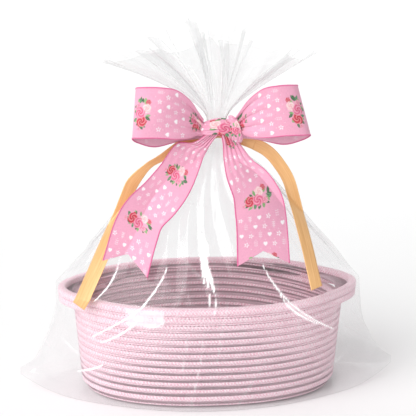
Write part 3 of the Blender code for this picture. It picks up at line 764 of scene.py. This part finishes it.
GOLD_ROUTES = {  # places from the tie on, each with the share of the width
    "left": [
        (-0.060, -0.0158, -0.0266, 0.6),
        (-0.073, -0.018, -0.0341, 0.6),
        (-0.0875, -0.018, -0.0496, 1.0),
        (-0.0955, -0.018, -0.0661, 1.0),
        (-0.1045, -0.020, -0.0876, 1.0),
        (-0.1216, -0.026, -0.1196, 1.0),
        (-0.1470, -0.034, -0.1690, 1.0),
    ],
    "right": [
        (0.050, -0.0158, -0.020, 1.0),
        (0.060, -0.018, -0.030, 1.0),
        (0.072, -0.020, -0.049, 1.0),
        (0.079, -0.022, -0.072, 1.0),
        (0.087, -0.026, -0.108, 1.0),
        (0.095, -0.030, -0.152, 1.0),
    ],
}
for side, leaving, inward in (("left", left_exit, 0.0012), ("right", right_exit, -0.0012)):
    route = [(leaving[0] + inward, leaving[1] + 0.0008, leaving[2] + 0.0004, 1.0)]
    route += [(NECK_SHIFT + x, y, TIE + z, part) for x, y, z, part in GOLD_ROUTES[side]]
    band, length, _, _ = hang(route, GOLD_WIDTH, GOLD_LIFT, 0.0, GOLD_CELL, GOLD_ACROSS, 0.0)
    band[..., 1] -= 0.0007 * np.sin(length * 90) ** 2 * smooth(length / 0.03)
    tail = ribbon("gold_tail_" + side + "_ribbon", band, GOLD_THICK, gold_finish)
    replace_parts(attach(tail, "satin_tail_" + side), "gold_tail_" + side)

# The printed ribbon: pink polyester linen, two inches wide, with a soft wire sewn in each edge. Bunches of
# roses are printed along it, with white hearts, flowers, sprigs and dots between them.
PRINT_WIDTH = 0.0508
PRINT_THICK = 0.0005
PRINT_CELL = 0.0005
PRINT_ACROSS = 96
REPEAT = 0.063  # from one bunch of roses to the next
TAIL_LIFT = 0.0055
TAIL_NOTCH = 0.014
EDGE = 0.0013
SOFT = 0.00035  # how softly one printed colour meets the next
LEVEL_END = 0.055  # how far down a printed tail the ribbon has turned to its own slant
MOTIF = 0.0023
LEAVES = 19
WHITE_INK = tint("fffafc")
CLOTH = tint("f2aec8")
CLOTH_BACK = tint("f8c4d8")
ROSES = [  # place across and along the ribbon from the bunch's middle, size, outer and inner colour
    (-0.0155, 0.0020, 0.0022, "f6a8bf", "de6086"),
    (0.0105, -0.0070, 0.0028, "dc4860", "b8283f"),
    (0.0072, 0.0035, 0.0034, "f6a8bf", "de6086"),
    (0.0045, -0.0055, 0.0046, "fbdcdc", "f0a8b0"),
    (-0.0080, -0.0005, 0.0056, "e0445c", "b8243c"),
    (0.0005, 0.0015, 0.0056, "f083a8", "d2406a"),
]
LEAF_DYES = ("467850", "5c9068", "8cb97d", "3f6e4a", "7fae70")


def over_print(colours, amount, dye):
    """The colours with a dye printed over them, where its amount is above 0."""
    amount = np.clip(amount, 0, 1)[..., None]
    return colours * (1 - amount) + np.array(dye) * amount


def printed(length, over, shift, seed):
    """The ribbon's colours on both faces at each place along and across it."""
    picked = np.random.default_rng(seed)
    colours = np.zeros((*length.shape, 3)) + np.array(CLOTH)
    first = int(math.floor((length.min() + shift) / REPEAT)) - 1
    last = int(math.ceil((length.max() + shift) / REPEAT)) + 1
    for bunch in range(first, last + 1):
        middle = bunch * REPEAT - shift
        for line in range(4):
            for post in range(-2, 3):
                place = middle + REPEAT * (0.29 + 0.14 * line)
                aside = MOTIF * (4 * post + 2 * (line % 2) - 1)
                size = MOTIF
                u, v = (over - aside) / size, (place - length) / size
                if (line + post) % 3 == 0:
                    lobes = 1.15 * v + 0.15 - 0.70 * np.sqrt(np.abs(u))
                    shape = (1 - np.hypot(1.05 * u, lobes)) * size / SOFT
                elif (line + post) % 3 == 1:
                    petals = 0.75 + 0.42 * np.cos(5 * np.arctan2(v, u))
                    shape = np.minimum(petals - np.hypot(u, v), np.hypot(u, v) - 0.24) * size / SOFT
                else:
                    shape = np.where(np.abs(v) < 1.3, (0.10 - np.abs(u)) * size / SOFT, -1)
                    for pair in (-0.7, 0.1, 0.9):
                        blade = np.hypot((np.abs(u) - 0.42) / 0.42, (v - pair - 0.5 * np.abs(u)) / 0.20)
                        shape = np.maximum(shape, (1 - blade) * 0.2 * size / SOFT)
                colours = over_print(colours, shape, WHITE_INK)
                dot = (0.0005 - np.hypot(length - place - 0.0044, over - aside - 0.0046)) / SOFT
                colours = over_print(colours, dot, WHITE_INK)
        for number in range(LEAVES):
            turn = 2 * math.pi * number / LEAVES + picked.uniform(-0.12, 0.12)
            size = picked.uniform(0.0026, 0.0038)
            aside = (0.0125 + picked.uniform(-0.0010, 0.0025)) * math.cos(turn)
            along = (0.0068 + picked.uniform(-0.0010, 0.0015)) * math.sin(turn)
            tilt = turn + picked.uniform(-0.7, 0.7)
            u = (over - aside) * math.cos(tilt) + (length - middle - along) * math.sin(tilt)
            v = (length - middle - along) * math.cos(tilt) - (over - aside) * math.sin(tilt)
            blade = (size * 0.46 * np.clip(1 - (u / size) ** 2, 0, 1) - np.abs(v)) / SOFT
            blade = np.where(np.abs(u) < size, blade, -1)
            colours = over_print(colours, blade, tint(LEAF_DYES[number % len(LEAF_DYES)]))
            vein = np.where(blade > 0.5, (0.00016 - np.abs(v)) / 0.0001, -1)
            colours = over_print(colours, vein * 0.35, tint("d8e8c8"))
        for aside, along, size, outer, inner in ROSES:
            u, v = length - middle - along, over - aside
            away = np.hypot(u, v) / size
            turning = np.arctan2(v, u)
            edge_of = 1 + 0.07 * np.cos(6 * turning + along * 900)
            petal = 0.5 + 0.5 * np.sin(3 * turning + 11 * away)
            disc = (edge_of - away) * size / SOFT
            inside_disc = np.minimum(disc, 1)
            colours = over_print(colours, disc, tint(outer))
            colours = over_print(colours, inside_disc * (petal * 0.45 + (away < 0.4) * 0.4), tint(inner))
            colours = over_print(colours, inside_disc * (1 - petal) ** 3 * 0.35, tint("fff0f2"))
    selvedge = (EDGE - (PRINT_WIDTH / 2 - np.abs(over))) / SOFT
    colours = over_print(colours, selvedge * 0.9, tint("e66a9e"))
    back = colours * 0.22 + 0.78 * np.array(CLOTH_BACK)
    back = over_print(back, selvedge * 0.9, tint("e06498"))
    return colours, back


print_finish, start = new_finish("printed_linen")
ink = start.make("ShaderNodeAttribute", {"attribute_name": "print"})
laid = start.make("ShaderNodeSeparateXYZ", {}, {0: start.make("ShaderNodeUVMap", {"uv_map": "UVMap"})})
warp = start.make("ShaderNodeCombineXYZ", {}, {0: laid * 420.0, 1: laid.part(1) * 110.0})
weft = start.make("ShaderNodeCombineXYZ", {}, {0: laid * 2100.0, 1: laid.part(1) * 14.0})
slub = (start.noise(warp, 1.0, Detail=2.0) + start.noise(weft, 1.0, Detail=2.0)) * 0.5
tone = ((slub - 0.5) * 2.2 + 0.5).limited().mixed((0.80, 0.76, 0.78), (1.0, 1.0, 1.0))
multiply = {"data_type": "RGBA", "blend_type": "MULTIPLY"}
dyed = start.make("ShaderNodeMix", multiply, {0: 1.0, 6: ink, 7: tone}, out=2)
linen = start.principled(
    {
        "Base Color": dyed,
        "Roughness": 0.62,
        "Sheen Weight": 0.2,
        "Specular IOR Level": 0.35,
        "Normal": start.bump(0.45, 0.0004, slub),
    }
)
finish_with(start, linen)

KNOT_Y = -0.0214
KNOT_Z = TIE + 0.004
KNOT_HALF = 0.013
HINGE_Y = -0.025
HINGE_Z = NECK_LOW + 0.0005

# Its two ends hang from the knot over the front of the bag, each cut to a swallowtail.
PRINT_ROUTES = {  # places from the hinges, with the share of the width, then where its print starts
    "left": (
        [
            (-0.007, -0.001, 0.016, 0.22),
            (-0.019, -0.0045, 0.0065, 0.34),
            (-0.030, 0.0, -0.0003, 0.62),
            (-0.0465, -0.006, -0.026, 0.74),
            (-0.062, -0.012, -0.044, 0.80),
            (-0.0785, -0.020, -0.059, 0.85),
            (-0.0885, -0.028, -0.077, 0.90),
            (-0.100, -0.040, -0.111, 0.92),
        ],
        0.005,
    ),
    "right": (
        [
            (0.008, -0.001, 0.016, 0.24),
            (0.0115, -0.001, 0.008, 0.31),
            (0.0145, 0.0, -0.0003, 0.40),
            (0.0210, -0.004, -0.019, 0.65),
            (0.0315, -0.008, -0.036, 0.88),
            (0.0380, -0.014, -0.053, 1.04),
            (0.0400, -0.020, -0.071, 1.07),
            (0.0395, -0.034, -0.108, 1.08),
        ],
        -0.008,
    ),
}
for side, (places, shift) in PRINT_ROUTES.items():
    route = [(NECK_SHIFT + x, HINGE_Y + y, HINGE_Z + z, part) for x, y, z, part in places]
    band, length, over, share = hang(
        route, PRINT_WIDTH, TAIL_LIFT, TAIL_NOTCH, PRINT_CELL, PRINT_ACROSS, LEVEL_END
    )
    bunched = (1 - smooth(length / 0.07)) * (1 - share)
    band[..., 1] -= 0.0035 * bunched * (1 + np.sin(over * 2 * math.pi * 5 / PRINT_WIDTH + 0.8)) / 2
    band[..., 1] -= 0.0016 * np.sin(length * 55 + over * 30) ** 2 * smooth(length / 0.05)
    colours, back = printed(length, over, shift, 11 + len(side))
    tail = ribbon("bow_tail_" + side + "_ribbon", band, PRINT_THICK, print_finish, 0.0004, back, colours)
    "print_tail_" + side
    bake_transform(tail)
    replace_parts(tail, "bow_tail_" + side)

# Each loop runs out from the knot in front, turns, and comes back behind a little lower. It is gathered hard
# where it enters the knot and opens to its whole width, and its wires keep it open.
LOOP_BULGE = 0.026
LOOPS = (  # side, name, reach from the knot, flare at the end, where its print starts
    (-1, "left", 0.071, 0.0022, -0.012),
    (1, "right", 0.070, 0.0070, -0.008),
)
for side, name, reach, flare, shift in LOOPS:
    back_y = KNOT_Y + 0.0015
    plan = [
        (0.00, back_y - 0.0040, KNOT_Z + 0.002, 0.34),
        (0.10, back_y - 0.28 * LOOP_BULGE, KNOT_Z + 0.008, 0.50),
        (0.22, back_y - 0.55 * LOOP_BULGE, KNOT_Z + 0.0135, 0.78),
        (0.42, back_y - 0.84 * LOOP_BULGE, KNOT_Z + 0.0195, 1.00),
        (0.66, back_y - 0.98 * LOOP_BULGE, KNOT_Z + 0.0222, 1.03),
        (0.90, back_y - 0.88 * LOOP_BULGE, KNOT_Z + 0.0222, 1.03),
        (1.00, back_y - 0.52 * LOOP_BULGE, KNOT_Z + 0.0200, 1.02),
        (0.92, back_y - 0.14 * LOOP_BULGE, KNOT_Z + 0.0130, 1.00),
        (0.66, back_y, KNOT_Z + 0.0070, 0.98),
        (0.30, back_y + 0.0005, KNOT_Z + 0.0045, 0.64),
        (0.00, back_y, KNOT_Z, 0.34),
    ]
    path = through(plan, 900)
    place = np.stack([side * path[:, 0] * reach, path[:, 1], path[:, 2]], axis=-1)
    run = np.concatenate([[0.0], np.cumsum(np.linalg.norm(np.diff(place, axis=0), axis=1))])
    even = np.linspace(0, run[-1], int(run[-1] / PRINT_CELL))
    out, y, z, share = (np.interp(even, run, path[:, axis])[:, None] for axis in range(4))
    over = np.linspace(-0.5, 0.5, PRINT_ACROSS)[None, :]
    gathered = np.clip(1 - out / 0.55, 0, 1)
    x = NECK_SHIFT + side * (KNOT_HALF + 0.003 + reach * out - 2 * flare * over * out)
    pleat = 0.0022 * gathered * np.sin(over * 2 * math.pi * 3.5 + 0.6)
    rise = 0.0012 * gathered * np.sin(over * 2 * math.pi * 7)
    soft_wave = 0.0011 * np.sin(even[:, None] * 75 + over * 5) * (1 - gathered)
    band = np.stack([x + 0 * over, y + pleat + soft_wave, z + over * share * PRINT_WIDTH + rise], axis=-1)
    length = even[:, None] + 0 * over
    colours, back = printed(length, over * PRINT_WIDTH + 0 * length, shift, 21 + side)
    if side < 0:
        band, colours, back = band[:, ::-1], colours[:, ::-1], back[:, ::-1]
    loop = ribbon("bow_loop_" + name + "_ribbon", band, PRINT_THICK, print_finish, 0.0004, back, colours)
    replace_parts(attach(loop, "loop_" + name), "bow_loop_" + name)

# The bow's middle: a length of the same ribbon scrunched round the loops' ends, and a second turn of it that
# slants down into the right tail.
KNOT_RINGS = 150
KNOT_AROUND = 180
KNOTS = (  # name, route from the knot's middle, half width, half depth, where its print starts
    (
        "bow_knot_turn",
        [
            (-0.018, 0.000, -0.001),
            (-0.010, -0.0022, 0.0010),
            (0.003, -0.0032, 0.0025),
            (0.014, -0.0018, -0.002),
            (0.018, 0.001, -0.005),
        ],
        0.0086,
        0.0066,
        -0.0225,
    ),
    (
        "bow_knot_cross",
        [
            (0.009, -0.0015, 0.012),
            (0.014, -0.0052, 0.007),
            (0.0165, -0.0060, -0.001),
            (0.018, -0.0052, -0.009),
            (0.018, -0.0030, -0.014),
        ],
        0.0062,
        0.0040,
        -0.0200,
    ),
)
for name, route, wide, deep, shift in KNOTS:
    path = through(route, KNOT_RINGS) + np.array([NECK_SHIFT, KNOT_Y, KNOT_Z])
    run = unit(np.gradient(path, axis=0))
    forward = np.cross(run, (0.0, 0.0, 1.0))
    forward = unit(np.where(np.abs(run[:, 2:]) > 0.7, np.array([0.0, -1.0, 0.0]), forward))
    upward = unit(np.cross(forward, run))
    turn = np.linspace(0, 2 * math.pi, KNOT_AROUND, endpoint=False)[None, :]
    t = np.linspace(0, 1, KNOT_RINGS)[:, None]
    close = np.sin(math.pi * np.clip(0.06 + 0.88 * t, 0, 1)) ** 0.30
    folds = 1 + 0.17 * (fold(turn * 8 / (2 * math.pi) + 0.8 * t + 0.15 * np.sin(9 * t)) - 0.5)
    folds += 0.05 * np.sin(turn * 21 + 5 * t)
    size = (close * folds)[..., None]
    lump = path[:, None] + size * (
        forward[:, None] * deep * np.cos(turn)[..., None] + upward[:, None] * wide * np.sin(turn)[..., None]
    )
    first = np.repeat(path[:1, None], KNOT_AROUND, axis=1)
    last = np.repeat(path[-1:, None], KNOT_AROUND, axis=1)
    lump = np.concatenate([first, lump, last])
    length = np.concatenate([[0.0], np.linspace(0, 0.045, KNOT_RINGS), [0.045]])[:, None] + 0 * turn
    over = ((turn + math.pi) % (2 * math.pi) / math.pi - 1) * PRINT_WIDTH / 2 + 0 * length
    colours, _ = printed(length, over, shift, 31)
    knot = skin(name, lump, print_finish, wrap=True, colours=colours)
    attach(knot, "wrapped_basket")
    if name == "bow_knot_turn":
        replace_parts(knot, "bow_knot")


# The studio: a pale floor that sweeps up behind, a soft key light from the front left, and the camera.
CAMERA_FAR = 1.6
SENSOR = 36.0
CAMERA_TURN = math.radians(5.5)
CAMERA_TILT = math.radians(14.0)
VIEW_WIDTH = 0.4368  # what the picture takes in at the basket
LOOK_AT = (0.0, 0.0, 0.1905)
FLOOR_BACK = 2.2
FLOOR_BEND = 1.2
FLOOR_FRONT = -6.0
sweep = [(place, 0.0) for place in np.linspace(FLOOR_FRONT, FLOOR_BACK, 30)]
for turn in np.linspace(0, math.pi / 2, 16)[1:]:
    sweep.append((FLOOR_BACK + FLOOR_BEND * math.sin(turn), FLOOR_BEND - FLOOR_BEND * math.cos(turn)))
for rise in np.linspace(FLOOR_BEND, 5.0, 8)[1:]:
    sweep.append((FLOOR_BACK + FLOOR_BEND, rise))
sweep = np.array([[(x, y, z) for x in np.linspace(-6.0, 6.0, 25)] for y, z in sweep])
floor_finish, start = new_finish("studio_floor")
place = start.make("ShaderNodeTexCoord", out="Object")
grain = start.noise(place, 3.0)
card = start.principled(
    {
        "Base Color": grain.mixed((0.93, 0.93, 0.93), (0.95, 0.95, 0.95)),
        "Roughness": 0.9,
        "Specular IOR Level": 0.1,
    }
)
finish_with(start, card)
skin("studio_floor", sweep - np.array([0, 0, 0.0005]), floor_finish)


def lamp(name, kind, place, energy, **settings):
    """A light that faces the basket."""
    light = bpy.data.lights.new(name, kind)
    light.energy = energy
    for setting, value in settings.items():
        setattr(light, setting, value)
    made = bpy.data.objects.new(name, light)
    made.location = place
    towards = np.array(LOOK_AT) - np.array(place)
    made.rotation_euler = Vector(towards).to_track_quat("-Z", "Y").to_euler()
    bpy.context.scene.collection.objects.link(made)


lamp("key_sun", "SUN", (-1.5, -1.4, 1.5), 2.35, angle=math.radians(60))
lamp("key_box", "AREA", (-0.9, -1.3, 0.9), 1.6, shape="RECTANGLE", size=0.35, size_y=0.8)
lamp("side_box", "AREA", (1.3, -0.6, 0.8), 0.4, shape="RECTANGLE", size=0.15, size_y=0.8)
world = bpy.data.worlds.new("studio")
world.use_nodes = True
world.node_tree.nodes["Background"].inputs["Color"].default_value = (1.0, 1.0, 1.0, 1.0)
world.node_tree.nodes["Background"].inputs["Strength"].default_value = 0.535
bpy.context.scene.world = world
bpy.context.scene.view_settings.view_transform = "Standard"

eye = bpy.data.cameras.new("camera")
eye.sensor_width = SENSOR
eye.lens = SENSOR * CAMERA_FAR / VIEW_WIDTH
camera = bpy.data.objects.new("camera", eye)
away = Vector(
    (
        -math.sin(CAMERA_TURN) * math.cos(CAMERA_TILT),
        -math.cos(CAMERA_TURN) * math.cos(CAMERA_TILT),
        math.sin(CAMERA_TILT),
    )
)
camera.location = Vector(LOOK_AT) + away * CAMERA_FAR
camera.rotation_euler = away.to_track_quat("Z", "Y").to_euler()
bpy.context.scene.collection.objects.link(camera)
bpy.context.scene.camera = camera
